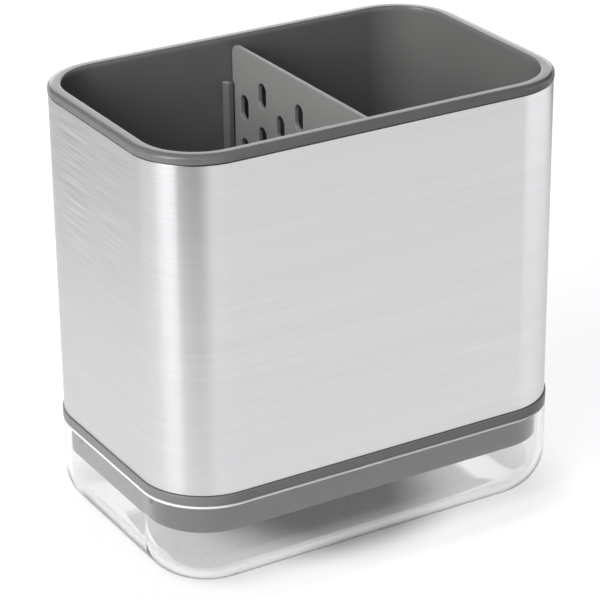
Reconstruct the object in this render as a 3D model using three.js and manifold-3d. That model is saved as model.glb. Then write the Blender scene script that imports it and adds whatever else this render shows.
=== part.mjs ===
import * as THREE from 'three';
import { mergeVertices } from 'three/addons/utils/BufferGeometryUtils.js';
import Module from 'manifold-3d';

// A utensil holder that stands in a clear drip tray. A brushed steel sleeve covers a plastic bin with a
// slotted floor, and a slotted divider stands between guide ribs on the bin's walls and lifts out.
// Millimetres, +Z up, front towards -Y, origin in the middle of the tray's underside.

// Steel sleeve: its outline is the one that every other piece follows at an inset
const SLEEVE_WIDTH = 146;
const SLEEVE_DEPTH = 94;
const SLEEVE_HEIGHT = 107.8;
const SLEEVE_CORNER = 22;
const SLEEVE_SHEET = 0.6;

// Drip tray: the wall stands a little outside the sleeve and leans in towards the large floor fillet
const TRAY_HEIGHT = 31.5;
const TRAY_WALL = 2;
const TRAY_FLOOR = 2.2;
const TRAY_PROUD = 0.45;
const TRAY_LEAN = 0.1;
const TRAY_FILLET = 14;
const TRAY_EDGE_ROUND = 0.6;

// Base collar: a band under the sleeve, with an upstand that grips the sleeve from inside
const COLLAR_HEIGHT = 3.1;
const COLLAR_PROUD = 0.5;
const COLLAR_ROUND = 0.25;
const UPSTAND_HEIGHT = 5;
const UPSTAND_WALL = 1.5;

// Inner bin: wall, floor and the skirt that reaches down from the collar into the tray
const BIN_WALL = 2.2;
const BIN_LEAN = 0.4;
const BIN_FLOOR = 2.2;
const FLOOR_FILLET = 4;
const FLOOR_RECESS = 3;
const SKIRT_DROP = 10.8;
const SKIRT_ROUND = 0.8;

// Rim of the bin: it caps the sleeve, its inner face leans, and a thicker band under it centres the
// sleeve's top
const RIM_HEIGHT = 2.8;
const RIM_PROUD = 0.2;
const RIM_ROUND = 1.2;
const RIM_INNER_ROUND = 0.4;
const RIM_FACE = 2.1;
const RIM_LEAN = 0.4;
const LOCATOR_HEIGHT = 4;

// Drain slots in the bin's floor: rows along X, each row half a pitch from the next
const DRAIN_LENGTH = 9.2;
const DRAIN_WIDTH = 3.9;
const DRAIN_PITCH = 14.8;
const DRAIN_ROW_PITCH = 9.5;
const DRAIN_MARGIN = 4;

// Lugs on the skirt's short sides: they centre the bin in the tray
const LUG_LENGTH = 6.5;
const LUG_HEIGHT = 2.4;
const LUG_FLAT = 1.7;
const LUG_PROUD = 0.7;
const LUG_DROP = 2.2;
const LUG_SPACING = 46.6;

// Guide ribs on the long walls, one pair in front and one behind: wide at the wall, with an outer face
// that slopes to a narrow tip
const GUIDE_TIP = 1.8;
const GUIDE_ROOT = 2.8;
const GUIDE_REACH = 1.7;
const GUIDE_DROP = 14.6;
const GUIDE_TOP_ROUND = 0.6;

// Divider: an upright plate with columns of slots, each column half a pitch from the next. It has play
// between its guides, and stands to the left in them.
const DIVIDER_THICKNESS = 1.6;
const DIVIDER_ASIDE = 0.6;
const DIVIDER_DROP = 2.15;
const DIVIDER_CORNER = 3;
const SLOT_WIDTH = 4.85;
const SLOT_LENGTH = 8.45;
const SLOT_COLUMN_PITCH = 11.45;
const SLOT_PITCH = 14.9;
const SLOT_FIRST_DROP = 12.35;
const SLOT_SIDE_MARGIN = 3;
const SLOT_FOOT_MARGIN = 8;

// Clearances: between faces that rest on each other, side fits, and the divider in its guides
const REST_GAP = 0.25;
const FIT_GAP = 0.3;
const GUIDE_GAP = 0.5;
const DIVIDER_END_GAP = 0.5;

// Facets: steps in each upright corner, each profile round and each slot's half round
const CORNER_STEPS = 8;
const ROUND_STEPS = 3;
const FILLET_STEPS = 6;
const SLOT_STEPS = 3;
const RIB_TOP_STEPS = 2;
const LEAST_CORNER = 0.5;
const SAME_POINT = 1e-6;

// Finishes
const CLEAR_PLASTIC = { color: 0xeef1f2, roughness: 0.08, metalness: 0, transparent: true, opacity: 0.3 };
const COLLAR_PLASTIC = { color: 0x6f6f6d, roughness: 0.45, metalness: 0 };
const BRUSHED_STEEL = { color: 0xc9c9cb, roughness: 0.35, metalness: 1 };
const BIN_PLASTIC = { color: 0x6a6a68, roughness: 0.45, metalness: 0 };
const DIVIDER_PLASTIC = { color: 0x8c8c8a, roughness: 0.45, metalness: 0 };

// Heights in the holder
const collarZ = TRAY_HEIGHT + REST_GAP;
const sleeveZ = collarZ + COLLAR_HEIGHT + REST_GAP;
const rimZ = sleeveZ + SLEEVE_HEIGHT + REST_GAP;
const skirtZ = collarZ - SKIRT_DROP;
const binFloorZ = skirtZ + FLOOR_RECESS + BIN_FLOOR;
const dividerZ = binFloorZ + REST_GAP;
const dividerHeight = rimZ + RIM_HEIGHT - DIVIDER_DROP - dividerZ;

// Insets from the sleeve's outline
const trayInside = TRAY_WALL - TRAY_PROUD;
const sleeveFit = SLEEVE_SHEET + FIT_GAP;
const upstandInside = sleeveFit + UPSTAND_WALL;
const skirtOutside = Math.max(trayInside + TRAY_LEAN + LUG_PROUD, upstandInside) + FIT_GAP;
const skirtInside = skirtOutside + BIN_WALL;
const binTopOutside = skirtOutside - BIN_LEAN;
const binTopInside = binTopOutside + BIN_WALL;

// The divider's half lengths, and its guides' distance from the middle
const dividerFootHalf = SLEEVE_DEPTH / 2 - skirtInside - DIVIDER_END_GAP;
const dividerTopHalf = SLEEVE_DEPTH / 2 - binTopInside - DIVIDER_END_GAP;
const guideInside = DIVIDER_THICKNESS / 2 + DIVIDER_ASIDE + GUIDE_GAP;

// Directions of a round in a profile, measured from inwards towards up
const INWARDS = 0;
const UP = Math.PI / 2;
const OUTWARDS = Math.PI;
const DOWN = Math.PI * 1.5;

const wasm = await Module();
wasm.setup();

// The sleeve's outline moved in by inset, at height z, counter-clockwise seen from above
function outline(inset, z) {
  const corner = Math.max(SLEEVE_CORNER - inset, LEAST_CORNER);
  const x = SLEEVE_WIDTH / 2 - inset - corner;
  const y = SLEEVE_DEPTH / 2 - inset - corner;
  const centres = [[x, y], [-x, y], [-x, -y], [x, -y]];
  const points = [];
  centres.forEach(([centreX, centreY], quarter) => {
    for (let step = 0; step <= CORNER_STEPS; step++) {
      const angle = (quarter + step / CORNER_STEPS) * Math.PI / 2;
      points.push([centreX + corner * Math.cos(angle), centreY + corner * Math.sin(angle), z]);
    }
  });
  return points;
}

// Points of a round in a profile of [inset, z] points
function round(inset, z, radius, from, to, steps = ROUND_STEPS) {
  const points = [];
  for (let step = 0; step <= steps; step++) {
    const angle = from + (to - from) * step / steps;
    points.push([inset + radius * Math.cos(angle), z + radius * Math.sin(angle)]);
  }
  return points;
}

// Runs a profile round the outline, up its outside and down its inside. A ring's profile closes on
// itself, and a cup's starts and ends on the two faces of a flat floor.
function sweep(profile, isCup) {
  const corners = profile.filter(([inset, z], index) => {
    const [lastInset, lastZ] = profile[(index + profile.length - 1) % profile.length];
    return Math.hypot(inset - lastInset, z - lastZ) > SAME_POINT;
  });
  const rings = corners.map(([inset, z]) => outline(inset, z));
  const count = rings[0].length;
  const spans = isCup ? rings.length - 1 : rings.length;
  const positions = rings.flat();
  const triangles = [];
  for (let span = 0; span < spans; span++) {
    const here = span * count;
    const there = (span + 1) % rings.length * count;
    for (let i = 0; i < count; i++) {
      const next = (i + 1) % count;
      triangles.push(here + i, here + next, there + next);
      triangles.push(here + i, there + next, there + i);
    }
  }
  if (isCup) {
    const underside = positions.push([0, 0, corners[0][1]]) - 1;
    const floor = positions.push([0, 0, corners.at(-1)[1]]) - 1;
    const last = spans * count;
    for (let i = 0; i < count; i++) {
      const next = (i + 1) % count;
      triangles.push(underside, next, i);
      triangles.push(floor, last + i, last + next);
    }
  }
  const geometry = new THREE.BufferGeometry();
  geometry.setAttribute('position', new THREE.Float32BufferAttribute(positions.flat(), 3));
  geometry.setIndex(triangles);
  return geometry;
}

function toSolid(geometry) {
  const bare = geometry.clone();
  bare.deleteAttribute('normal');
  bare.deleteAttribute('uv');
  const merged = mergeVertices(bare);
  const vertProperties = new Float32Array(merged.attributes.position.array);
  const triVerts = new Uint32Array(merged.index.array);
  return new wasm.Manifold(new wasm.Mesh({ numProp: 3, vertProperties, triVerts }));
}

function toGeometry(solid) {
  const mesh = solid.getMesh();
  const geometry = new THREE.BufferGeometry();
  geometry.setAttribute('position', new THREE.BufferAttribute(mesh.vertProperties, mesh.numProp));
  geometry.setIndex(new THREE.BufferAttribute(mesh.triVerts, 1));
  return geometry;
}

// Draws a slot with half-round ends into a path, with its long axis along the given direction
function drawSlot(path, x, y, length, width, direction) {
  const radius = width / 2;
  const reachX = (length / 2 - radius) * Math.cos(direction);
  const reachY = (length / 2 - radius) * Math.sin(direction);
  const side = Math.PI / 2;
  path.absarc(x + reachX, y + reachY, radius, direction - side, direction + side);
  path.absarc(x - reachX, y - reachY, radius, direction + side, direction + 3 * side);
  path.closePath();
  return path;
}

function dripTray() {
  const foot = TRAY_LEAN - TRAY_PROUD;
  const inside = foot + TRAY_WALL;
  const innerFillet = Math.max(TRAY_FILLET - TRAY_WALL, LEAST_CORNER);
  const innerFilletZ = TRAY_FLOOR + innerFillet;
  const edge = Math.min(TRAY_EDGE_ROUND, TRAY_WALL / 2 - FIT_GAP);
  return sweep([
    ...round(foot + TRAY_FILLET, TRAY_FILLET, TRAY_FILLET, DOWN, OUTWARDS, FILLET_STEPS),
    ...round(edge - TRAY_PROUD, TRAY_HEIGHT - edge, edge, OUTWARDS, UP),
    ...round(trayInside - edge, TRAY_HEIGHT - edge, edge, UP, INWARDS),
    ...round(inside + innerFillet, innerFilletZ, innerFillet, OUTWARDS, DOWN, FILLET_STEPS),
  ], true);
}

function baseCollar() {
  const edge = Math.min(COLLAR_ROUND, COLLAR_HEIGHT / 2);
  const top = COLLAR_HEIGHT + UPSTAND_HEIGHT;
  const inside = skirtOutside - FIT_GAP;
  return sweep([
    ...round(edge - COLLAR_PROUD, edge, edge, DOWN, OUTWARDS),
    ...round(edge - COLLAR_PROUD, COLLAR_HEIGHT - edge, edge, OUTWARDS, UP),
    [sleeveFit, COLLAR_HEIGHT],
    [sleeveFit, top],
    [upstandInside, top],
    [upstandInside, COLLAR_HEIGHT],
    [inside, COLLAR_HEIGHT],
    [inside, 0],
  ], false);
}

function steelSleeve() {
  return sweep([
    [0, 0],
    [0, SLEEVE_HEIGHT],
    [SLEEVE_SHEET, SLEEVE_HEIGHT],
    [SLEEVE_SHEET, 0],
  ], false);
}

// The bin without its lugs, ribs and slots, standing on the lower edge of its skirt
function binShell() {
  const neck = SKIRT_DROP + COLLAR_HEIGHT + UPSTAND_HEIGHT;
  const rimUnder = rimZ - skirtZ;
  const rimTop = rimUnder + RIM_HEIGHT;
  const rimInside = binTopInside - RIM_LEAN;
  const locatorZ = rimUnder - LOCATOR_HEIGHT;
  const shoulder = Math.abs(binTopOutside - sleeveFit);
  const skirtRound = Math.min(SKIRT_ROUND, BIN_WALL / 2);
  const outerRound = Math.min(RIM_ROUND, RIM_HEIGHT - FIT_GAP);
  const innerRound = Math.min(RIM_INNER_ROUND, RIM_FACE - FIT_GAP);
  const filletInset = skirtInside + FLOOR_FILLET;
  const filletZ = FLOOR_RECESS + BIN_FLOOR + FLOOR_FILLET;
  return sweep([
    [skirtInside, FLOOR_RECESS],
    [skirtInside, 0],
    ...round(skirtOutside + skirtRound, skirtRound, skirtRound, DOWN, OUTWARDS),
    [skirtOutside, neck],
    [binTopOutside, locatorZ - shoulder],
    [sleeveFit, locatorZ],
    [sleeveFit, rimUnder],
    [-RIM_PROUD, rimUnder],
    ...round(outerRound - RIM_PROUD, rimTop - outerRound, outerRound, OUTWARDS, UP),
    ...round(rimInside - innerRound, rimTop - innerRound, innerRound, UP, INWARDS),
    [binTopInside, rimTop - RIM_FACE],
    [skirtInside, neck],
    ...round(filletInset, filletZ, FLOOR_FILLET, OUTWARDS, DOWN),
  ], true);
}

// A block with a sloped foot on the skirt's right side, rooted in the wall
function trayLug() {
  const face = SLEEVE_WIDTH / 2 - skirtOutside;
  const root = face - BIN_WALL + FIT_GAP;
  const top = SKIRT_DROP - LUG_DROP;
  const section = new THREE.Shape();
  section.moveTo(root, top - LUG_HEIGHT);
  section.lineTo(face, top - LUG_HEIGHT);
  section.lineTo(face + LUG_PROUD, top - LUG_FLAT);
  section.lineTo(face + LUG_PROUD, top);
  section.lineTo(root, top);
  section.closePath();
  const lug = new THREE.ExtrudeGeometry(section, { depth: LUG_LENGTH, bevelEnabled: false });
  lug.rotateX(Math.PI / 2);
  lug.translate(0, LUG_LENGTH / 2, 0);
  return lug;
}

// A rib on the back wall, right (side 1) or left (side -1) of the divider, with a round top, rooted in
// the wall and the floor
function guideRib(side) {
  const tipY = SLEEVE_DEPTH / 2 - skirtInside - GUIDE_REACH;
  const rootY = SLEEVE_DEPTH / 2 - skirtOutside - FIT_GAP;
  const slope = (GUIDE_ROOT - GUIDE_TIP) / GUIDE_REACH;
  const tipX = guideInside + GUIDE_TIP;
  const floorTop = FLOOR_RECESS + BIN_FLOOR;
  const ribTop = rimZ + RIM_HEIGHT - GUIDE_DROP - skirtZ;
  const section = new THREE.Shape();
  section.moveTo(side * guideInside, rootY);
  section.lineTo(side * guideInside, tipY);
  section.lineTo(side * tipX, tipY);
  section.lineTo(side * (tipX + slope * (rootY - tipY)), rootY);
  section.closePath();
  const rib = new THREE.ExtrudeGeometry(section, {
    depth: ribTop - floorTop - GUIDE_TOP_ROUND,
    bevelThickness: GUIDE_TOP_ROUND,
    bevelSize: GUIDE_TOP_ROUND,
    bevelOffset: -GUIDE_TOP_ROUND,
    bevelSegments: RIB_TOP_STEPS,
  });
  rib.translate(0, 0, floorTop);
  return rib;
}

// Places of the drain slots. The floor stays whole under the divider.
function drainPlaces() {
  const reachX = SLEEVE_WIDTH / 2 - skirtInside - FLOOR_FILLET - DRAIN_MARGIN - DRAIN_LENGTH / 2;
  const reachY = SLEEVE_DEPTH / 2 - skirtInside - FLOOR_FILLET - DRAIN_MARGIN - DRAIN_WIDTH / 2;
  const rows = Math.floor(reachY / DRAIN_ROW_PITCH);
  const places = [];
  for (let row = -rows; row <= rows; row++) {
    const firstX = row % 2 === 0 ? DRAIN_PITCH : DRAIN_PITCH / 2;
    for (let x = firstX; x <= reachX; x += DRAIN_PITCH) {
      places.push([x, row * DRAIN_ROW_PITCH], [-x, row * DRAIN_ROW_PITCH]);
    }
  }
  return places;
}

function innerBin() {
  let bin = toSolid(binShell());
  for (const turn of [0, Math.PI]) {
    for (const side of [-1, 1]) {
      const lug = trayLug();
      lug.translate(0, side * LUG_SPACING / 2, 0);
      lug.rotateZ(turn);
      bin = bin.add(toSolid(lug));
      const rib = guideRib(side);
      rib.rotateZ(turn);
      bin = bin.add(toSolid(rib));
    }
  }
  for (const [x, y] of drainPlaces()) {
    const slot = drawSlot(new THREE.Shape(), x, y, DRAIN_LENGTH, DRAIN_WIDTH, 0);
    const options = { depth: BIN_FLOOR + 2 * FIT_GAP, bevelEnabled: false, curveSegments: SLOT_STEPS };
    const cutter = new THREE.ExtrudeGeometry(slot, options);
    cutter.translate(0, 0, FLOOR_RECESS - FIT_GAP);
    bin = bin.subtract(toSolid(cutter));
  }
  return toGeometry(bin);
}

// The divider's plate is drawn upright, with u along the holder's depth and v up from its lower edge
function divider() {
  const foot = FLOOR_FILLET;
  const footU = dividerFootHalf - foot;
  const topU = dividerTopHalf - DIVIDER_CORNER;
  const topV = dividerHeight - DIVIDER_CORNER;
  const plate = new THREE.Shape();
  plate.absarc(footU, foot, foot, -Math.PI / 2, 0);
  plate.absarc(topU, topV, DIVIDER_CORNER, 0, Math.PI / 2);
  plate.absarc(-topU, topV, DIVIDER_CORNER, Math.PI / 2, Math.PI);
  plate.absarc(-footU, foot, foot, Math.PI, 1.5 * Math.PI);
  plate.closePath();
  const reachU = dividerFootHalf - SLOT_SIDE_MARGIN - SLOT_WIDTH / 2;
  const sideColumns = Math.floor(reachU / SLOT_COLUMN_PITCH);
  for (let column = -sideColumns; column <= sideColumns; column++) {
    const stagger = column % 2 === 0 ? 0 : SLOT_PITCH / 2;
    const lowest = SLOT_FOOT_MARGIN + SLOT_LENGTH / 2;
    for (let v = dividerHeight - SLOT_FIRST_DROP - stagger; v >= lowest; v -= SLOT_PITCH) {
      const u = column * SLOT_COLUMN_PITCH;
      plate.holes.push(drawSlot(new THREE.Path(), u, v, SLOT_LENGTH, SLOT_WIDTH, Math.PI / 2));
    }
  }
  const options = { depth: DIVIDER_THICKNESS, bevelEnabled: false, curveSegments: SLOT_STEPS };
  const geometry = new THREE.ExtrudeGeometry(plate, options);
  geometry.translate(0, 0, -DIVIDER_THICKNESS / 2);
  geometry.rotateX(Math.PI / 2);
  geometry.rotateZ(Math.PI / 2);
  geometry.translate(-DIVIDER_ASIDE, 0, 0);
  return geometry;
}

function piece(name, geometry, z, finish) {
  const mesh = new THREE.Mesh(geometry, new THREE.MeshStandardMaterial(finish));
  mesh.name = name;
  mesh.position.z = z;
  return mesh;
}

const caddy = new THREE.Group();
caddy.add(piece('base_collar', baseCollar(), collarZ, COLLAR_PLASTIC));
caddy.add(piece('steel_sleeve', steelSleeve(), sleeveZ, BRUSHED_STEEL));
caddy.add(piece('inner_bin', innerBin(), skirtZ, BIN_PLASTIC));
caddy.add(piece('divider', divider(), dividerZ, DIVIDER_PLASTIC));

const utensilHolder = new THREE.Group();
utensilHolder.add(piece('drip_tray', dripTray(), 0, CLEAR_PLASTIC));
utensilHolder.add(caddy);

export default utensilHolder;
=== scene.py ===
"""A utensil holder: a brushed steel sleeve round a slotted bin, standing in a clear drip tray."""

import itertools
import math

import bmesh
import bpy
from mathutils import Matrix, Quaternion, Vector


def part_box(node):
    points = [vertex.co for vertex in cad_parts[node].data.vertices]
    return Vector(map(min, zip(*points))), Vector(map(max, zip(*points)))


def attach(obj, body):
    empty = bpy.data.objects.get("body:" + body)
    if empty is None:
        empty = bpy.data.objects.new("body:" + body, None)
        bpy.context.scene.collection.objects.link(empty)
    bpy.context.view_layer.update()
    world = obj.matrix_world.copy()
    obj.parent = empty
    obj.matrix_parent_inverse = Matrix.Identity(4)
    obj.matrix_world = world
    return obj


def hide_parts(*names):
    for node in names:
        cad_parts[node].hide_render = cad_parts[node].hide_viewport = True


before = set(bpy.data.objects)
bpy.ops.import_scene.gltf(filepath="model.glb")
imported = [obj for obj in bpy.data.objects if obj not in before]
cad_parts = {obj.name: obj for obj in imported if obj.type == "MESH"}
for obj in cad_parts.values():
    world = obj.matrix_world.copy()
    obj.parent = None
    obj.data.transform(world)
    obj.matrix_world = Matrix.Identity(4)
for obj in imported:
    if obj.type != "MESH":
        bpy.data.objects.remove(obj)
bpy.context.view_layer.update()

MM = 0.001

# Sizes that the frame's boxes don't give
SLEEVE_CORNER = 22 * MM
SLEEVE_SHEET = 0.6 * MM
SLEEVE_EDGE = 0.15 * MM
TRAY_WALL = 2 * MM
TRAY_FLOOR = 2.2 * MM
TRAY_LEAN = 0.1 * MM
TRAY_FILLET = 14 * MM
TRAY_EDGE = 0.6 * MM
# A pale band painted along the tray's top edge as a highlight: how deep it reaches and how much of it is
# mixed in
LIP_HIGHLIGHT_DEPTH = 0.9 * MM
LIP_HIGHLIGHT_SHARE = 0.8
COLLAR_BAND = 3.1 * MM
COLLAR_ROUND = 0.25 * MM
COLLAR_FIT = 0.9 * MM
UPSTAND_WALL = 1.5 * MM
UPSTAND_EDGE = 0.4 * MM
BIN_WALL = 2.2 * MM
BIN_FLOOR = 2.2 * MM
BIN_LEAN = 0.4 * MM
SKIRT_INSET = 2.7 * MM
SKIRT_ROUND = 0.8 * MM
SKIRT_INNER_ROUND = 0.4 * MM
FLOOR_FILLET = 4 * MM
FLOOR_RECESS = 3 * MM
RIM_HEIGHT = 2.8 * MM
RIM_ROUND = 1.2 * MM
RIM_CROWN = 2.4 * MM
RIM_INNER_ROUND = 0.6 * MM
RIM_UNDER_EDGE = 0.3 * MM
RIM_FACE = 2.1 * MM
RIM_LEAN = 0.4 * MM
LOCATOR_HEIGHT = 4 * MM
GUIDE_TIP = 1.8 * MM
GUIDE_ROOT = 2.8 * MM
GUIDE_REACH = 1.7 * MM
GUIDE_DROP = 14.6 * MM
GUIDE_TOP_ROUND = 0.6 * MM
GUIDE_EDGE = 0.25 * MM
GUIDE_GAP = 0.5 * MM
LUG_LENGTH = 6.5 * MM
LUG_HEIGHT = 2.4 * MM
LUG_FLAT = 1.7 * MM
LUG_PROUD = 0.7 * MM
LUG_DROP = 2.2 * MM
LUG_SPACING = 46.6 * MM
LUG_EDGE = 0.2 * MM
DRAIN_LENGTH = 9.2 * MM
DRAIN_WIDTH = 3.9 * MM
DRAIN_PITCH = 14.8 * MM
DRAIN_ROW_PITCH = 9.5 * MM
DRAIN_MARGIN = 4 * MM
DRAIN_EDGE = 0.4 * MM
DIVIDER_CORNER = 3 * MM
DIVIDER_EDGE = 0.3 * MM
SLOT_WIDTH = 4.85 * MM
SLOT_LENGTH = 8.45 * MM
SLOT_COLUMN_PITCH = 11.45 * MM
SLOT_PITCH = 14.9 * MM
SLOT_FIRST_DROP = 12.35 * MM
SLOT_SIDE_MARGIN = 3 * MM
SLOT_FOOT_MARGIN = 8 * MM
ROOT = 0.3 * MM

# Steps in the upright corners and in the rounds of a profile
CORNER_STEPS = 24
ROUND_STEPS = 6
FILLET_STEPS = 16
EDGE_STEPS = 3
SLOT_STEPS = 10

# Limits for choosing edges and faces, and for joining points
SHARP = math.radians(40)
SMOOTH = math.radians(35)
ALONG = 0.99
LEVEL = 0.9
MERGE = 0.01 * MM

# Places in the frame
tray_low, tray_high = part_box("drip_tray")
collar_low, collar_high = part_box("base_collar")
sleeve_low, sleeve_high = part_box("steel_sleeve")
bin_low, bin_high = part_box("inner_bin")
divider_low, divider_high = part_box("divider")

rim_under = bin_high.z - RIM_HEIGHT
neck = collar_high.z
bin_floor = bin_low.z + FLOOR_RECESS + BIN_FLOOR
skirt_inside = SKIRT_INSET + BIN_WALL
bin_top_outside = SKIRT_INSET - BIN_LEAN
bin_top_inside = skirt_inside - BIN_LEAN

# Directions of a round in a profile, in degrees from inwards towards up
INWARDS = 0
UP = 90
OUTWARDS = 180
DOWN = 270


def arc(inset, height, radius, start, end, steps=ROUND_STEPS, reach=None):
    """Points of a round in a profile of (inset, height) points, which may reach further sideways."""
    points = []
    for step in range(steps + 1):
        angle = math.radians(start + (end - start) * step / steps)
        points.append((inset + (reach or radius) * math.cos(angle), height + radius * math.sin(angle)))
    return points


def choose(piece, kind, wanted):
    """Selects the faces or edges, in edit mode, that wanted says yes to."""
    bpy.ops.mesh.select_mode(type=kind)
    bpy.ops.mesh.select_all(action="DESELECT")
    mesh = bmesh.from_edit_mesh(piece.data)
    for element in mesh.faces if kind == "FACE" else mesh.edges:
        if wanted(element):
            element.select_set(True)
    mesh.select_flush_mode()
    bmesh.update_edit_mesh(piece.data)


def runs_along(edge, axis):
    """True if an edge lies along an axis, given by its number."""
    reach = edge.verts[1].co - edge.verts[0].co
    return abs(reach[axis]) > ALONG * reach.length


def is_sharp(edge):
    """True if an edge turns a corner between two faces."""
    return len(edge.link_faces) == 2 and edge.calc_face_angle() > SHARP


def select_only(piece=None):
    """Leaves edit mode and deselects everything but one piece."""
    if bpy.context.mode != "OBJECT":
        bpy.ops.object.mode_set(mode="OBJECT")
    bpy.ops.object.select_all(action="DESELECT")
    if piece:
        bpy.context.view_layer.objects.active = piece
        piece.select_set(True)


def block(name, low, high):
    """A cube primitive from corner low to corner high, in edit mode."""
    select_only()
    low, high = Vector(low), Vector(high)
    bpy.ops.mesh.primitive_cube_add(size=1, location=(low + high) / 2, scale=high - low)
    piece = bpy.context.active_object
    piece.name = name
    bpy.ops.object.transform_apply(location=True, rotation=True, scale=True)
    bpy.ops.object.mode_set(mode="EDIT")
    return piece


def rounded_block(name, inset, low, high):
    """A block with the sleeve's outline moved in by inset, between two heights, in edit mode."""
    half_x = sleeve_high.x - inset
    half_y = sleeve_high.y - inset
    piece = block(name, (-half_x, -half_y, low), (half_x, half_y, high))
    choose(piece, "EDGE", lambda edge: runs_along(edge, 2))
    bpy.ops.mesh.bevel(offset=SLEEVE_CORNER - inset, segments=CORNER_STEPS, affect="EDGES")
    return piece


def follow(piece, side, profile):
    """Insets the top face (side 1) or the bottom face (side -1) step by step along a profile."""
    choose(piece, "FACE", lambda face: face.normal.z * side > LEVEL)
    for (inset, height), (next_inset, next_height) in itertools.pairwise(profile):
        bpy.ops.mesh.inset(thickness=next_inset - inset, depth=(next_height - height) * side)


def open_through(piece):
    """Joins the outlines of the innermost top and bottom faces into one wall."""
    choose(piece, "FACE", lambda face: len(face.verts) > 4)
    bpy.ops.mesh.bridge_edge_loops()
    bpy.ops.mesh.select_all(action="SELECT")
    bpy.ops.mesh.normals_make_consistent(inside=False)


def combine(piece, tool, operation):
    """Joins tool to a piece or cuts it out, in object mode."""
    select_only(piece)
    bpy.ops.object.modifier_add(type="BOOLEAN")
    modifier = piece.modifiers[-1]
    modifier.operation = operation
    modifier.solver = "EXACT"
    modifier.object = tool
    bpy.ops.object.modifier_apply(modifier=modifier.name)
    bpy.data.objects.remove(tool)


def copy_to(places):
    """Repeats the selected mesh, which stands at the first place, at all the others."""
    for here, there in itertools.pairwise(places):
        bpy.ops.mesh.duplicate()
        bpy.ops.transform.translate(value=Vector(there) - Vector(here))


def slot_cutters(name, size, across, places):
    """Round-ended cutters of a size, whose round edges run along the axis across."""
    half = Vector(size) / 2
    first = Vector(places[0])
    cutters = block(name, first - half, first + half)
    choose(cutters, "EDGE", lambda edge: runs_along(edge, across))
    narrow = min(size[axis] for axis in range(3) if axis != across)
    bpy.ops.mesh.bevel(offset=narrow / 2, segments=SLOT_STEPS, affect="EDGES")
    bpy.ops.mesh.select_all(action="SELECT")
    bpy.ops.mesh.remove_doubles(threshold=MERGE)
    copy_to(places)
    return cutters


def finish_piece(piece, node, body, material):
    """Shades a piece, and puts it in the place of its node."""
    select_only(piece)
    bpy.ops.object.shade_smooth_by_angle(angle=SMOOTH)
    bpy.ops.object.modifier_add(type="WEIGHTED_NORMAL")
    modifier = piece.modifiers[-1]
    modifier.keep_sharp = True
    bpy.ops.object.modifier_apply(modifier=modifier.name)
    piece.data.materials.clear()
    piece.data.materials.append(material)
    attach(piece, body)
    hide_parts(node)


def clear_tray(material):
    """The drip tray, from its widest line down round the foot and over the edge to the floor."""
    top_outside = sleeve_high.x - tray_high.x
    foot = top_outside + TRAY_LEAN
    top_inside = top_outside + TRAY_WALL
    inner_fillet = TRAY_FILLET - TRAY_WALL
    edge_z = tray_high.z - TRAY_EDGE
    floor_top = tray_low.z + TRAY_FLOOR
    tray = rounded_block("clear_tray", top_outside, edge_z - TRAY_EDGE, edge_z)
    follow(tray, 1, [
        *arc(top_outside + TRAY_EDGE, edge_z, TRAY_EDGE, OUTWARDS, UP),
        *arc(top_inside - TRAY_EDGE, edge_z, TRAY_EDGE, UP, INWARDS),
        *arc(foot + TRAY_FILLET, floor_top + inner_fillet, inner_fillet, OUTWARDS, DOWN, FILLET_STEPS),
    ])
    follow(tray, -1, [
        (top_outside, edge_z - TRAY_EDGE),
        *arc(foot + TRAY_FILLET, tray_low.z + TRAY_FILLET, TRAY_FILLET, OUTWARDS, DOWN, FILLET_STEPS),
    ])
    finish_piece(tray, "drip_tray", "tray", material)


def collar_ring(material):
    """The band under the sleeve, with an upstand that stands inside it."""
    outside = sleeve_high.x - collar_high.x
    inside = COLLAR_FIT + UPSTAND_WALL
    band_top = collar_low.z + COLLAR_BAND
    upper_round = band_top - COLLAR_ROUND
    lower_round = collar_low.z + COLLAR_ROUND
    upstand_round = collar_high.z - UPSTAND_EDGE
    collar = rounded_block("collar_ring", outside, lower_round, upper_round)
    follow(collar, 1, [
        *arc(outside + COLLAR_ROUND, upper_round, COLLAR_ROUND, OUTWARDS, UP),
        (COLLAR_FIT, band_top),
        *arc(COLLAR_FIT + UPSTAND_EDGE, upstand_round, UPSTAND_EDGE, OUTWARDS, UP, EDGE_STEPS),
        *arc(inside - UPSTAND_EDGE, upstand_round, UPSTAND_EDGE, UP, INWARDS, EDGE_STEPS),
    ])
    follow(collar, -1, [
        *arc(outside + COLLAR_ROUND, lower_round, COLLAR_ROUND, OUTWARDS, DOWN),
        (inside, collar_low.z),
    ])
    open_through(collar)
    finish_piece(collar, "base_collar", "caddy", material)


def brushed_sleeve(material):
    """The steel sleeve: thin sheet with softened edges."""
    upper = sleeve_high.z - SLEEVE_EDGE
    lower = sleeve_low.z + SLEEVE_EDGE
    turned_in = SLEEVE_SHEET - SLEEVE_EDGE
    sleeve = rounded_block("brushed_sleeve", 0, lower, upper)
    follow(sleeve, 1, [
        *arc(SLEEVE_EDGE, upper, SLEEVE_EDGE, OUTWARDS, UP, EDGE_STEPS),
        *arc(turned_in, upper, SLEEVE_EDGE, UP, INWARDS, EDGE_STEPS),
    ])
    follow(sleeve, -1, [
        *arc(SLEEVE_EDGE, lower, SLEEVE_EDGE, OUTWARDS, DOWN, EDGE_STEPS),
        *arc(turned_in, lower, SLEEVE_EDGE, DOWN, DOWN + 90, EDGE_STEPS),
    ])
    open_through(sleeve)
    finish_piece(sleeve, "steel_sleeve", "caddy", material)


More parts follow.
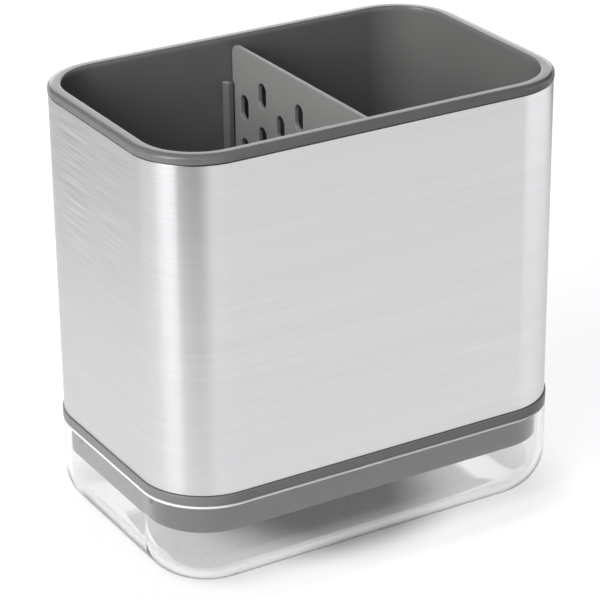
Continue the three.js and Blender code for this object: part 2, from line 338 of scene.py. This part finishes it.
def bin_shell():
    """The bin from its rim: down its inside to the floor, and down its outside to the skirt's edge."""
    outside = sleeve_high.x - bin_high.x
    inside = bin_top_inside - RIM_LEAN
    face_foot = bin_high.z - RIM_FACE
    locator_z = rim_under - LOCATOR_HEIGHT
    shoulder = bin_top_outside - COLLAR_FIT
    fillet_inset = skirt_inside + FLOOR_FILLET
    skirt_edge = skirt_inside - SKIRT_INNER_ROUND
    outer_z = bin_high.z - RIM_ROUND
    inner_z = bin_high.z - RIM_INNER_ROUND
    under_z = rim_under + RIM_UNDER_EDGE
    skirt_z = bin_low.z + SKIRT_ROUND
    shell = rounded_block("slotted_bin", outside, under_z, outer_z)
    follow(shell, 1, [
        *arc(outside + RIM_CROWN, outer_z, RIM_ROUND, OUTWARDS, UP, FILLET_STEPS, RIM_CROWN),
        *arc(inside - RIM_INNER_ROUND, inner_z, RIM_INNER_ROUND, UP, INWARDS),
        (bin_top_inside, face_foot),
        (skirt_inside, neck),
        *arc(fillet_inset, bin_floor + FLOOR_FILLET, FLOOR_FILLET, OUTWARDS, DOWN, FILLET_STEPS),
    ])
    follow(shell, -1, [
        *arc(outside + RIM_UNDER_EDGE, under_z, RIM_UNDER_EDGE, OUTWARDS, DOWN, EDGE_STEPS),
        (COLLAR_FIT, rim_under),
        (COLLAR_FIT, locator_z),
        (bin_top_outside, locator_z - shoulder),
        (SKIRT_INSET, neck),
        *arc(SKIRT_INSET + SKIRT_ROUND, skirt_z, SKIRT_ROUND, OUTWARDS, DOWN),
        (skirt_edge, bin_low.z),
        (skirt_inside, bin_low.z + SKIRT_INNER_ROUND),
        (skirt_inside, bin_low.z + FLOOR_RECESS),
    ])
    return shell


def guide_ribs():
    """The four ribs that the divider slides between, rooted in the walls and the floor."""
    wall_y = sleeve_high.y - skirt_inside
    tip_y = wall_y - GUIDE_REACH
    root_y = sleeve_high.y - SKIRT_INSET - ROOT
    rib_top = bin_high.z - GUIDE_DROP
    aside = GUIDE_GAP - divider_low.x
    tip_x = aside + GUIDE_TIP
    slope = (GUIDE_ROOT - GUIDE_TIP) / GUIDE_REACH
    ribs = block("guide_ribs", (aside, tip_y, bin_floor - ROOT), (tip_x, root_y, rib_top))
    choose(ribs, "EDGE", lambda edge: (
        runs_along(edge, 2) and edge.verts[0].co.x > aside + ROOT and edge.verts[0].co.y > wall_y))
    bpy.ops.transform.translate(value=(slope * (root_y - tip_y), 0, 0))
    choose(ribs, "EDGE", lambda edge: runs_along(edge, 2) and edge.verts[0].co.y < wall_y)
    bpy.ops.mesh.bevel(offset=GUIDE_EDGE, segments=EDGE_STEPS, affect="EDGES")
    choose(ribs, "EDGE", lambda edge: min(vert.co.z for vert in edge.verts) > rib_top - ROOT)
    bpy.ops.mesh.bevel(offset=GUIDE_TOP_ROUND, segments=ROUND_STEPS, affect="EDGES")
    bpy.ops.mesh.select_all(action="SELECT")
    bpy.ops.mesh.duplicate()
    bpy.ops.transform.mirror(constraint_axis=(True, False, False), center_override=(0, 0, 0))
    bpy.ops.mesh.select_all(action="SELECT")
    bpy.ops.mesh.normals_make_consistent(inside=False)
    bpy.ops.mesh.duplicate()
    bpy.ops.transform.rotate(value=math.pi, orient_axis="Z", center_override=(0, 0, 0))
    return ribs


def tray_lugs():
    """The four wedges that centre the bin in the tray, rooted in the skirt."""
    face_x = sleeve_high.x - SKIRT_INSET
    top = collar_low.z - LUG_DROP
    low = (face_x - BIN_WALL + ROOT, LUG_SPACING / 2 - LUG_LENGTH / 2, top - LUG_HEIGHT)
    high = (face_x + LUG_PROUD, LUG_SPACING / 2 + LUG_LENGTH / 2, top)
    lugs = block("tray_lugs", low, high)
    bpy.ops.mesh.select_all(action="SELECT")
    bpy.ops.mesh.bisect(plane_co=(0, 0, top - LUG_FLAT), plane_no=(0, 0, 1))
    choose(lugs, "EDGE", lambda edge: all(
        vert.co.x > face_x and vert.co.z < top - LUG_FLAT - ROOT for vert in edge.verts))
    bpy.ops.transform.translate(value=(-LUG_PROUD, 0, 0))
    choose(lugs, "EDGE", lambda edge: all(vert.co.x > face_x + ROOT for vert in edge.verts))
    bpy.ops.mesh.bevel(offset=LUG_EDGE, segments=EDGE_STEPS, affect="EDGES")
    bpy.ops.mesh.select_all(action="SELECT")
    copy_to([(0, 0, 0), (0, -LUG_SPACING, 0)])
    bpy.ops.mesh.select_all(action="SELECT")
    bpy.ops.mesh.duplicate()
    bpy.ops.transform.rotate(value=math.pi, orient_axis="Z", center_override=(0, 0, 0))
    return lugs


def drain_places():
    """Middles of the drain slots: rows along X, each half a pitch from the next."""
    flat_x = sleeve_high.x - skirt_inside - FLOOR_FILLET - DRAIN_MARGIN - DRAIN_LENGTH / 2
    flat_y = sleeve_high.y - skirt_inside - FLOOR_FILLET - DRAIN_MARGIN - DRAIN_WIDTH / 2
    rows = math.floor(flat_y / DRAIN_ROW_PITCH)
    places = []
    for row in range(-rows, rows + 1):
        x = DRAIN_PITCH if row % 2 == 0 else DRAIN_PITCH / 2
        while x <= flat_x:
            for side in (1, -1):
                places.append((side * x, row * DRAIN_ROW_PITCH, bin_floor - BIN_FLOOR / 2))
            x += DRAIN_PITCH
    return places


def slotted_bin(material):
    """The bin with its ribs and lugs, and drain slots with softened edges."""
    shell = bin_shell()
    combine(shell, guide_ribs(), "UNION")
    combine(shell, tray_lugs(), "UNION")
    size = (DRAIN_LENGTH, DRAIN_WIDTH, 2 * BIN_FLOOR)
    combine(shell, slot_cutters("drain_cutters", size, 2, drain_places()), "DIFFERENCE")
    bpy.ops.object.mode_set(mode="EDIT")
    flat_x = sleeve_high.x - skirt_inside - FLOOR_FILLET - ROOT
    flat_y = sleeve_high.y - skirt_inside - FLOOR_FILLET - ROOT

    def on_drain(edge):
        middle = (edge.verts[0].co + edge.verts[1].co) / 2
        level = abs(edge.verts[0].co.z - edge.verts[1].co.z) < ROOT / 10
        on_face = abs(middle.z - bin_floor) < ROOT or abs(middle.z - bin_floor + BIN_FLOOR) < ROOT
        on_floor = abs(middle.x) < flat_x and abs(middle.y) < flat_y
        return level and on_face and on_floor and is_sharp(edge)

    choose(shell, "EDGE", on_drain)
    bpy.ops.mesh.bevel(offset=DRAIN_EDGE, segments=EDGE_STEPS, affect="EDGES")
    finish_piece(shell, "inner_bin", "caddy", material)


def slot_places():
    """Middles of the divider's slots: upright columns, each half a pitch from the next."""
    reach = divider_high.y - BIN_LEAN - SLOT_SIDE_MARGIN - SLOT_WIDTH / 2
    columns = math.floor(reach / SLOT_COLUMN_PITCH)
    middle_x = (divider_low.x + divider_high.x) / 2
    lowest = divider_low.z + SLOT_FOOT_MARGIN + SLOT_LENGTH / 2
    places = []
    for column in range(-columns, columns + 1):
        z = divider_high.z - SLOT_FIRST_DROP
        if column % 2:
            z -= SLOT_PITCH / 2
        while z >= lowest:
            places.append((middle_x, column * SLOT_COLUMN_PITCH, z))
            z -= SLOT_PITCH
    return places


def slotted_divider(material):
    """The upright plate, whose ends lean with the bin's walls, with round corners and slots."""
    plate = block("slotted_divider", divider_low, divider_high)
    middle_z = (divider_low.z + divider_high.z) / 2
    for end in (1, -1):
        choose(plate, "EDGE", lambda edge: (
            runs_along(edge, 0) and edge.verts[0].co.z < middle_z and edge.verts[0].co.y * end > 0))
        bpy.ops.transform.translate(value=(0, -end * BIN_LEAN, 0))
    for above, radius in ((True, DIVIDER_CORNER), (False, FLOOR_FILLET)):
        choose(plate, "EDGE", lambda edge: (
            runs_along(edge, 0) and is_sharp(edge) and (edge.verts[0].co.z > middle_z) == above))
        bpy.ops.mesh.bevel(offset=radius, segments=SLOT_STEPS, affect="EDGES")
    size = (2 * (divider_high.x - divider_low.x), SLOT_WIDTH, SLOT_LENGTH)
    combine(plate, slot_cutters("slot_cutters", size, 0, slot_places()), "DIFFERENCE")
    bpy.ops.object.mode_set(mode="EDIT")
    choose(plate, "EDGE", is_sharp)
    bpy.ops.mesh.bevel(offset=DIVIDER_EDGE, segments=EDGE_STEPS, affect="EDGES")
    finish_piece(plate, "divider", "divider", material)


class Wire:
    """A node's output. Arithmetic on it adds Math nodes to its tree."""

    def __init__(self, nodes, socket):
        self.nodes = nodes
        self.socket = socket

    def maths(self, operation, first, second):
        return self.nodes.add("ShaderNodeMath", {"operation": operation}, {0: first, 1: second})["Value"]

    def __add__(self, other):
        return self.maths("ADD", self, other)

    def __radd__(self, other):
        return self.maths("ADD", other, self)

    def __sub__(self, other):
        return self.maths("SUBTRACT", self, other)

    def __rsub__(self, other):
        return self.maths("SUBTRACT", other, self)

    def __mul__(self, other):
        return self.maths("MULTIPLY", self, other)

    def __rmul__(self, other):
        return self.maths("MULTIPLY", other, self)

    def __truediv__(self, other):
        return self.maths("DIVIDE", self, other)

    def __rtruediv__(self, other):
        return self.maths("DIVIDE", other, self)

    def __pow__(self, other):
        return self.maths("POWER", self, other)

    def __rpow__(self, other):
        return self.maths("POWER", other, self)

    def __or__(self, other):
        return self.maths("MAXIMUM", self, other)

    def __ror__(self, other):
        return self.maths("MAXIMUM", other, self)


class Nodes:
    """The node tree of a material or the world, emptied."""

    def __init__(self, owner):
        owner.use_nodes = True
        self.tree = owner.node_tree
        self.tree.nodes.clear()

    def add(self, kind, settings, inputs):
        """Adds a node with its settings and the values or links of its sockets, and gives its outputs."""
        node = self.tree.nodes.new(kind)
        for name, value in settings.items():
            setattr(node, name, value)
        sockets = dict(enumerate(node.inputs))
        sockets.update({socket.name: socket for socket in node.inputs if socket.enabled})
        for name, value in inputs.items():
            if isinstance(value, Wire):
                self.tree.links.new(value.socket, sockets[name])
            else:
                sockets[name].default_value = value
        return {socket.name: Wire(self, socket) for socket in node.outputs if socket.enabled}

    def noise(self, spacing, detail, roughness=0.5):
        """Noise on the piece's own coordinates, with its grain in metres along X, Y and Z."""
        place = self.add("ShaderNodeTexCoord", {}, {})["Object"]
        scale = tuple(1 / step for step in spacing)
        grain = self.add("ShaderNodeVectorMath", {"operation": "MULTIPLY"}, {0: place, 1: scale})
        inputs = {"Vector": grain["Vector"], "Scale": 1, "Detail": detail, "Roughness": roughness}
        return self.add("ShaderNodeTexNoise", {}, inputs)["Fac"]

    def shade(self, dark, light, factor):
        """A colour between two, by a factor."""
        inputs = {"Factor": factor, "A": (*dark, 1), "B": (*light, 1)}
        return self.add("ShaderNodeMix", {"data_type": "RGBA"}, inputs)["Result"]

    def bump(self, height, distance):
        return self.add("ShaderNodeBump", {}, {"Height": height, "Distance": distance})["Normal"]

    def ramp(self, value, start, end):
        """Goes smoothly from 0 where a value is start to 1 where it is end."""
        inputs = {"Value": value, "From Min": start, "From Max": end}
        return self.add("ShaderNodeMapRange", {"interpolation_type": "SMOOTHSTEP"}, inputs)["Result"]

    def along(self, axis):
        """The piece's own coordinate along X, Y or Z."""
        place = self.add("ShaderNodeTexCoord", {}, {})["Object"]
        return self.add("ShaderNodeSeparateXYZ", {}, {0: place})[axis]

    def principled(self, inputs):
        return self.add("ShaderNodeBsdfPrincipled", {}, inputs)["BSDF"]

    def surface(self, shader):
        self.add("ShaderNodeOutputMaterial", {}, {"Surface": shader})


def new_material(name):
    """A material and its emptied node tree."""
    material = bpy.data.materials.new(name)
    return material, Nodes(material)


# Where the steel's brushing shows most: the upper part of its left end, towards the back
WORN_HEIGHT = (70 * MM, 135 * MM)
WORN_END = (-40 * MM, -72 * MM)
WORN_BACK = (-45 * MM, 35 * MM)
WORN_GAIN = 4


def brushed_steel():
    """Steel brushed level round the sleeve: fine lines of several lengths, stronger in some patches."""
    material, nodes = new_material("brushed_steel")
    hair = nodes.noise((25 * MM, 25 * MM, 0.35 * MM), 1)
    line = nodes.noise((70 * MM, 70 * MM, 0.7 * MM), 2)
    band = nodes.noise((160 * MM, 160 * MM, 5 * MM), 1)
    patch = nodes.noise((70 * MM, 70 * MM, 40 * MM), 1)
    brushing = hair * 0.4 + line * 0.6
    upper = nodes.ramp(nodes.along("Z"), *WORN_HEIGHT)
    left = nodes.ramp(nodes.along("X"), *WORN_END)
    back = nodes.ramp(nodes.along("Y"), *WORN_BACK)
    worn = upper * left * back * WORN_GAIN
    lines = (brushing - 0.5) * (0.1 + patch * 0.7) + (hair - 0.5) * worn
    streak = lines + (band - 0.5) * 0.2 + 0.5
    nodes.surface(nodes.principled({
        "Base Color": nodes.shade((0.55, 0.55, 0.57), (0.77, 0.77, 0.775), streak),
        "Metallic": 1,
        "Roughness": 0.295 + brushing * 0.01,
        "Specular Tint": (0.88, 0.88, 0.88, 1),
        "Anisotropic": 0.9,
        "Anisotropic Rotation": 0.25,
        "Normal": nodes.bump(brushing, 0.0008 * MM),
    }))
    return material


def satin_plastic(name, dark, light, roughness):
    """Moulded plastic with a fine satin texture and a faint unevenness of tone."""
    material, nodes = new_material(name)
    grain = nodes.noise((0.25 * MM,) * 3, 3, 0.6)
    tone = nodes.noise((14 * MM,) * 3, 2)
    nodes.surface(nodes.principled({
        "Base Color": nodes.shade(dark, light, tone * 0.7 + grain * 0.3),
        "Roughness": roughness * (0.8 + grain * 0.2 + tone * 0.2),
        "Normal": nodes.bump(grain, 0.002 * MM),
    }))
    return material


def clear_plastic():
    """Polished clear plastic, very slightly wavy as a moulding is, with a pale band painted along its top
    edge as a highlight.
    """
    material, nodes = new_material("clear_plastic")
    wave = nodes.noise((24 * MM,) * 3, 1)
    haze = nodes.noise((6 * MM,) * 3, 2)
    polished = nodes.principled({
        "Base Color": (0.89, 0.89, 0.89, 1),
        "Roughness": haze * 0.03,
        "IOR": 1.57,
        "Transmission Weight": 1,
        "Normal": nodes.bump(wave, 0.04 * MM),
    })
    # A pale, rough band mixed in along the tray's top edge: a painted highlight
    painted_lip_highlight = nodes.principled({
        "Base Color": nodes.shade((0.82, 0.82, 0.82), (0.9, 0.9, 0.9), haze),
        "Roughness": 0.3 + haze * 0.1,
    })
    lip = nodes.ramp(nodes.along("Z"), tray_high.z - LIP_HIGHLIGHT_DEPTH, tray_high.z - LIP_HIGHLIGHT_DEPTH / 2)
    mixed = nodes.add("ShaderNodeMixShader", {}, {0: lip * LIP_HIGHLIGHT_SHARE, 1: polished, 2: painted_lip_highlight})
    nodes.surface(mixed["Shader"])
    return material


# Stage: a faint sky, a soft key box and a soft fill on the left, a soft box behind, and panels that only
# show in reflections. Azimuths are in degrees round the holder from the front, to the right.
FLOOR_REACH = 6
FLOOR_DROP = 0.05 * MM
FLOOR_SHADE = 0.3
FLOOR_GLOW = 0.85
# Painted shadow on the floor: its glow is left out round the tray's outline and under its middle, with
# painted light kept at the tray's corners and right end
SHADE_OUTLINE = (0.42, 1.45)
SHADE_CORE = (0.42, 1.05)
CORE_SIDE = 50 * MM
CORE_FRONT = 48 * MM
CORE_BACK = 6.5 * MM
PAINTED_CORNER_LIGHT = 0.8
PAINTED_LIGHT_RIGHT_END = (60 * MM, 90 * MM)
# The floor's glow fades towards the key's side: painted shade that evens the floor against the key's light
PAINTED_GLOW_RISE = (-1500 * MM, -50 * MM)
SKY_LEVEL = 0.16
KEY_LEVEL = 5.2
FILL_LEVEL = 5.3
BACK_LEVEL = 1.8
LAMP_DISTANCE = 900 * MM
CANOPY_REACH = 3.5
CANOPY_HEIGHT = 1.3
CANOPY_LEVEL = 0.08


def seen_directly(nodes):
    """1 for rays that show what they meet: from the camera, in a reflection or through clear plastic."""
    path = nodes.add("ShaderNodeLightPath", {}, {})
    return path["Is Camera Ray"] | path["Is Glossy Ray"] | path["Is Transmission Ray"]


def white_world():
    """A faint sky that shows white."""
    world = bpy.data.worlds.new("studio")
    bpy.context.scene.world = world
    nodes = Nodes(world)
    strength = SKY_LEVEL + seen_directly(nodes) * (1 - SKY_LEVEL)
    white = nodes.add("ShaderNodeBackground", {}, {"Color": (1, 1, 1, 1), "Strength": strength})
    nodes.add("ShaderNodeOutputWorld", {}, {"Surface": white["Background"]})


def white_floor():
    """A pale floor that keeps the shadow. Its glow is left out round and under the tray as a painted
    shadow, less so at the tray's corners and right end, where painted light stays, and it fades towards
    the key's side as painted shade.
    """
    select_only()
    bpy.ops.mesh.primitive_plane_add(size=2 * FLOOR_REACH, location=(0, 0, tray_low.z - FLOOR_DROP))
    floor = bpy.context.active_object
    floor.name = "floor"
    material, nodes = new_material("floor_white")
    x, y = nodes.along("X"), nodes.along("Y")
    outline = ((x / tray_high.x) ** 4 + (y / tray_high.y) ** 4) ** 0.25
    core = ((x / CORE_SIDE) ** 2 + ((y + CORE_BACK) / CORE_FRONT) ** 2) ** 0.5
    corners = PAINTED_CORNER_LIGHT + nodes.ramp(x, *PAINTED_LIGHT_RIGHT_END) * (1 - PAINTED_CORNER_LIGHT)
    # Painted shadow round and under the tray, with painted light at the tray's corners and right end
    clear = nodes.ramp(outline, *SHADE_OUTLINE) | nodes.ramp(core, *SHADE_CORE) * corners
    # The glow fades towards the key's side: painted shade that evens the floor against the key's light
    glow_with_painted_shade = seen_directly(nodes) * clear * nodes.ramp(x, *PAINTED_GLOW_RISE)
    nodes.surface(nodes.principled({
        "Base Color": (FLOOR_SHADE, FLOOR_SHADE, FLOOR_SHADE, 1),
        "Roughness": 1,
        "Specular IOR Level": 0,
        "Emission Color": nodes.shade((0, 0, 0), (FLOOR_GLOW,) * 3, glow_with_painted_shade),
        "Emission Strength": 1,
    }))
    floor.data.materials.append(material)


def towards(azimuth, elevation):
    """The direction from the holder to a place round it."""
    turn, rise = math.radians(azimuth), math.radians(elevation)
    return Vector((
        math.sin(turn) * math.cos(rise),
        -math.cos(turn) * math.cos(rise),
        math.sin(rise),
    ))


def soft_box(azimuth, elevation, width, height, level):
    """A lamp that faces the holder, as bright as level times white."""
    direction = towards(azimuth, elevation)
    facing = direction.to_track_quat("Z", "Y")
    bpy.ops.object.light_add(type="AREA", location=direction * LAMP_DISTANCE, rotation=facing.to_euler())
    lamp = bpy.context.active_object
    lamp.data.shape = "RECTANGLE"
    lamp.data.size = width
    lamp.data.size_y = height
    lamp.data.energy = level * math.pi * width * height
    lamp.visible_camera = False
    return lamp


def only_reflected(panel, name, level, fade=0):
    """Makes a named panel glow in reflections only. Its right-hand share fade goes over into white."""
    panel.name = name
    material, nodes = new_material(name)
    glow = (level, level, level, 1)
    if fade:
        glow = nodes.shade((level,) * 3, (1, 1, 1), nodes.ramp(nodes.along("X"), 0.5 - fade, 0.5))
    nodes.surface(nodes.add("ShaderNodeEmission", {}, {"Color": glow})["Emission"])
    panel.data.materials.append(material)
    panel.visible_camera = False
    panel.visible_diffuse = False
    panel.visible_transmission = False
    panel.visible_shadow = False


def card(name, azimuth, distance, width, height, level, fade=0):
    """A card that stands on the floor, facing the holder."""
    select_only()
    direction = towards(azimuth, 0)
    middle = direction * distance + Vector((0, 0, tray_low.z + height / 2))
    facing = direction.to_track_quat("Z", "Y")
    bpy.ops.mesh.primitive_plane_add(size=1, location=middle, rotation=facing.to_euler())
    panel = bpy.context.active_object
    panel.scale = (width, height, 1)
    only_reflected(panel, name, level, fade)


def canopy():
    """A dark canopy high over the holder, which leaves a white horizon."""
    select_only()
    bpy.ops.mesh.primitive_plane_add(size=2 * CANOPY_REACH, location=(0, 0, tray_low.z + CANOPY_HEIGHT))
    only_reflected(bpy.context.active_object, "canopy", CANOPY_LEVEL)


# Camera at the photograph's angle
CAMERA_AZIMUTH = -30.54
CAMERA_ELEVATION = 24.6
CAMERA_DISTANCE = 853.2 * MM
CAMERA_TARGET_HEIGHT = 68.6 * MM
CAMERA_ASIDE = 1.37 * MM
CAMERA_ROLL = math.radians(-0.62)
CAMERA_LENS = 158.7


def photo_camera():
    """The camera, turned to the holder and rolled a little."""
    back = towards(CAMERA_AZIMUTH, CAMERA_ELEVATION)
    right = towards(CAMERA_AZIMUTH + 90, 0)
    target = Vector((0, 0, tray_low.z + CAMERA_TARGET_HEIGHT)) - right * CAMERA_ASIDE
    turn = back.to_track_quat("Z", "Y") @ Quaternion((0, 0, 1), CAMERA_ROLL)
    bpy.ops.object.camera_add(location=target + back * CAMERA_DISTANCE, rotation=turn.to_euler())
    camera = bpy.context.active_object
    camera.data.lens = CAMERA_LENS
    bpy.context.scene.camera = camera


bin_plastic = satin_plastic("bin_plastic", (0.118, 0.118, 0.1155), (0.14, 0.14, 0.137), 0.17)
collar_plastic = satin_plastic("collar_plastic", (0.157, 0.157, 0.154), (0.183, 0.183, 0.179), 0.35)
divider_plastic = satin_plastic("divider_plastic", (0.19, 0.19, 0.186), (0.215, 0.215, 0.21), 0.4)
clear_tray(clear_plastic())
collar_ring(collar_plastic)
brushed_sleeve(brushed_steel())
slotted_bin(bin_plastic)
slotted_divider(divider_plastic)

white_world()
white_floor()
soft_box(azimuth=-79, elevation=42, width=400 * MM, height=800 * MM, level=KEY_LEVEL)
fill = soft_box(azimuth=-62, elevation=30, width=600 * MM, height=600 * MM, level=FILL_LEVEL)
fill.visible_glossy = False
soft_box(azimuth=150, elevation=26, width=730 * MM, height=460 * MM, level=BACK_LEVEL)
card("dark_card", azimuth=-36, distance=405 * MM, width=384 * MM, height=500 * MM, level=0.05, fade=0.5)
card("right_card", azimuth=65, distance=500 * MM, width=450 * MM, height=500 * MM, level=1.5)
card("left_back_card", azimuth=-154, distance=340 * MM, width=500 * MM, height=60 * MM, level=0.75)
card("right_back_card", azimuth=118, distance=400 * MM, width=260 * MM, height=150 * MM, level=0.4)
canopy()
photo_camera()
bpy.context.scene.view_settings.view_transform = "Standard"
